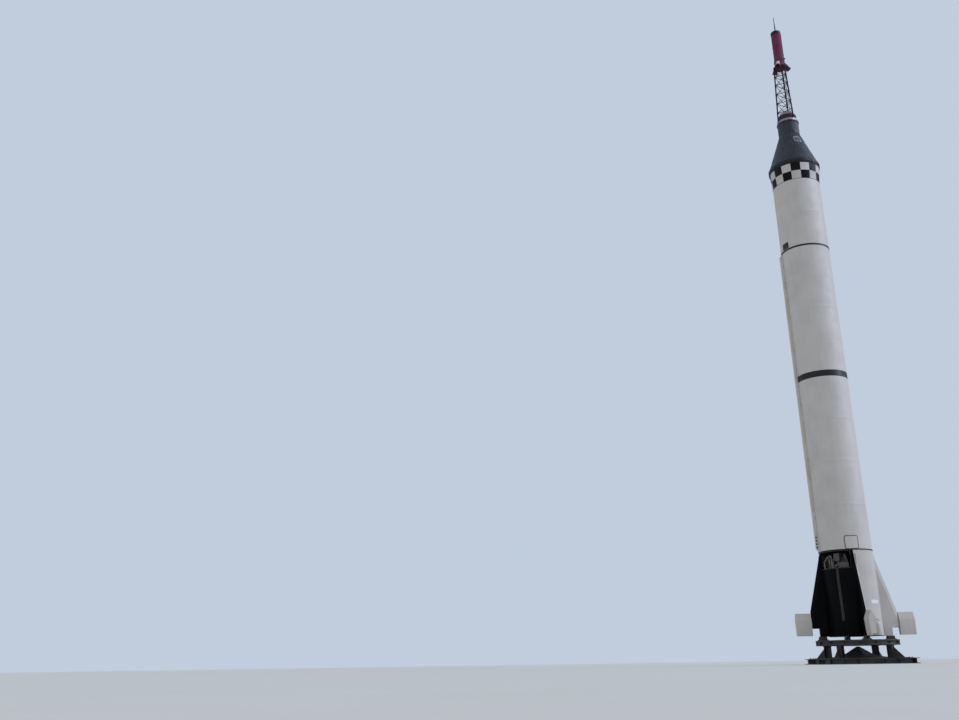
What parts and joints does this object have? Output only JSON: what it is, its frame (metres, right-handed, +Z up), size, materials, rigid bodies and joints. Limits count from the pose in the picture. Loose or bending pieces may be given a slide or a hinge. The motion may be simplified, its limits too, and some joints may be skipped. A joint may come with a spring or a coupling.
{
  "type": "space rocket",
  "caption": "Slim single-stage crewed rocket with four finned rudders, cone capsule and lattice escape tower, on its launch table.",
  "frame": {"origin": "centre of the launch table's underside, on the rocket's long axis", "axes": "+Z up along the rocket, -Y through the first fin, +X through the second"},
  "size_m": [3.96, 3.96, 26.31],
  "materials": {
    "white_paint": "weathered off-white gloss paint",
    "black_paint": "weathered black paint",
    "shingle": "dark oxidised shingles",
    "red_paint": "faded red enamel",
    "bare_metal": "dull bare alloy",
    "engine_steel": "heat-stained steel",
    "stand_steel": "dark worn steel paint",
    "graphite": "matt graphite",
    "couch_fabric": "woven",
    "window_glass": "clear"
  },
  "bodies": {
    "vehicle": {"stand_base_frame": "stand_steel", "flame_deflector": "stand_steel", "stand_ring": "stand_steel", "stand_pad_1": "stand_steel", "stand_pad_2": "stand_steel", "stand_pad_3": "stand_steel", "stand_pad_4": "stand_steel", "tail_shell": "white_paint", "nozzle": "engine_steel", "base_heat_shield": "engine_steel", "engine_block": "engine_steel", "bay_floor": "black_paint", "bay_plumbing": "bare_metal", "tail_cover_1": "white_paint", "tail_cover_2": "white_paint", "tail_conduit": "black_paint", "fin_1": "white_paint", "fin_2": "white_paint", "fin_3": "white_paint", "fin_4": "white_paint", "tail_joint_ring": "black_paint", "lower_tank": "white_paint", "middle_band": "black_paint", "upper_tank": "white_paint", "separation_ring": "black_paint", "instrument_section": "white_paint", "adapter": "white_paint", "clamp_ring": "black_paint", "cable_tunnel": "white_paint", "access_panel": "white_paint", "port_plate": "black_paint", "capsule_shell": "shingle", "capsule_hatch": "shingle", "window_pane": "window_glass", "couch": "couch_fabric", "instrument_panel": "stand_steel", "recovery_compartment": "shingle", "antenna_canister": "shingle", "tower_base_ring": "bare_metal", "escape_tower": "red_paint", "motor_housing": "red_paint", "escape_nozzle_1": "black_paint", "escape_nozzle_2": "black_paint", "escape_nozzle_3": "black_paint", "escape_motor": "red_paint", "nose_spike": "black_paint"},
    "rudder_1": {"rudder_1": "white_paint"},
    "jet_vane_1": {"jet_vane_1": "graphite"},
    "rudder_2": {"rudder_2": "white_paint"},
    "jet_vane_2": {"jet_vane_2": "graphite"},
    "rudder_3": {"rudder_3": "white_paint"},
    "jet_vane_3": {"jet_vane_3": "graphite"},
    "rudder_4": {"rudder_4": "white_paint"},
    "jet_vane_4": {"jet_vane_4": "graphite"}
  },
  "joints": [
    {"name": "rudder_1_hinge", "type": "hinge", "parent": "vehicle", "child": "rudder_1", "pos_m": [0, -1.465, 1.35], "axis": [0, -1, 0], "range_deg": [-28, 28]},
    {"name": "jet_vane_1_hinge", "type": "hinge", "parent": "vehicle", "child": "jet_vane_1", "pos_m": [0, -0.4, 1.125], "axis": [0, -1, 0], "range_deg": [-28, 28]},
    {"name": "rudder_2_hinge", "type": "hinge", "parent": "vehicle", "child": "rudder_2", "pos_m": [1.465, 0, 1.35], "axis": [1, 0, 0], "range_deg": [-28, 28]},
    {"name": "jet_vane_2_hinge", "type": "hinge", "parent": "vehicle", "child": "jet_vane_2", "pos_m": [0.4, 0, 1.125], "axis": [1, 0, 0], "range_deg": [-28, 28]},
    {"name": "rudder_3_hinge", "type": "hinge", "parent": "vehicle", "child": "rudder_3", "pos_m": [0, 1.465, 1.35], "axis": [0, 1, 0], "range_deg": [-28, 28]},
    {"name": "jet_vane_3_hinge", "type": "hinge", "parent": "vehicle", "child": "jet_vane_3", "pos_m": [0, 0.4, 1.125], "axis": [0, 1, 0], "range_deg": [-28, 28]},
    {"name": "rudder_4_hinge", "type": "hinge", "parent": "vehicle", "child": "rudder_4", "pos_m": [-1.465, 0, 1.35], "axis": [-1, 0, 0], "range_deg": [-28, 28]},
    {"name": "jet_vane_4_hinge", "type": "hinge", "parent": "vehicle", "child": "jet_vane_4", "pos_m": [-0.4, 0, 1.125], "axis": [-1, 0, 0], "range_deg": [-28, 28]}
  ],
  "couplings": [
    {"joint": "jet_vane_1_hinge", "follows": "rudder_1_hinge", "ratio": 1},
    {"joint": "jet_vane_2_hinge", "follows": "rudder_2_hinge", "ratio": 1},
    {"joint": "jet_vane_3_hinge", "follows": "rudder_3_hinge", "ratio": 1},
    {"joint": "jet_vane_4_hinge", "follows": "rudder_4_hinge", "ratio": 1}
  ]
}
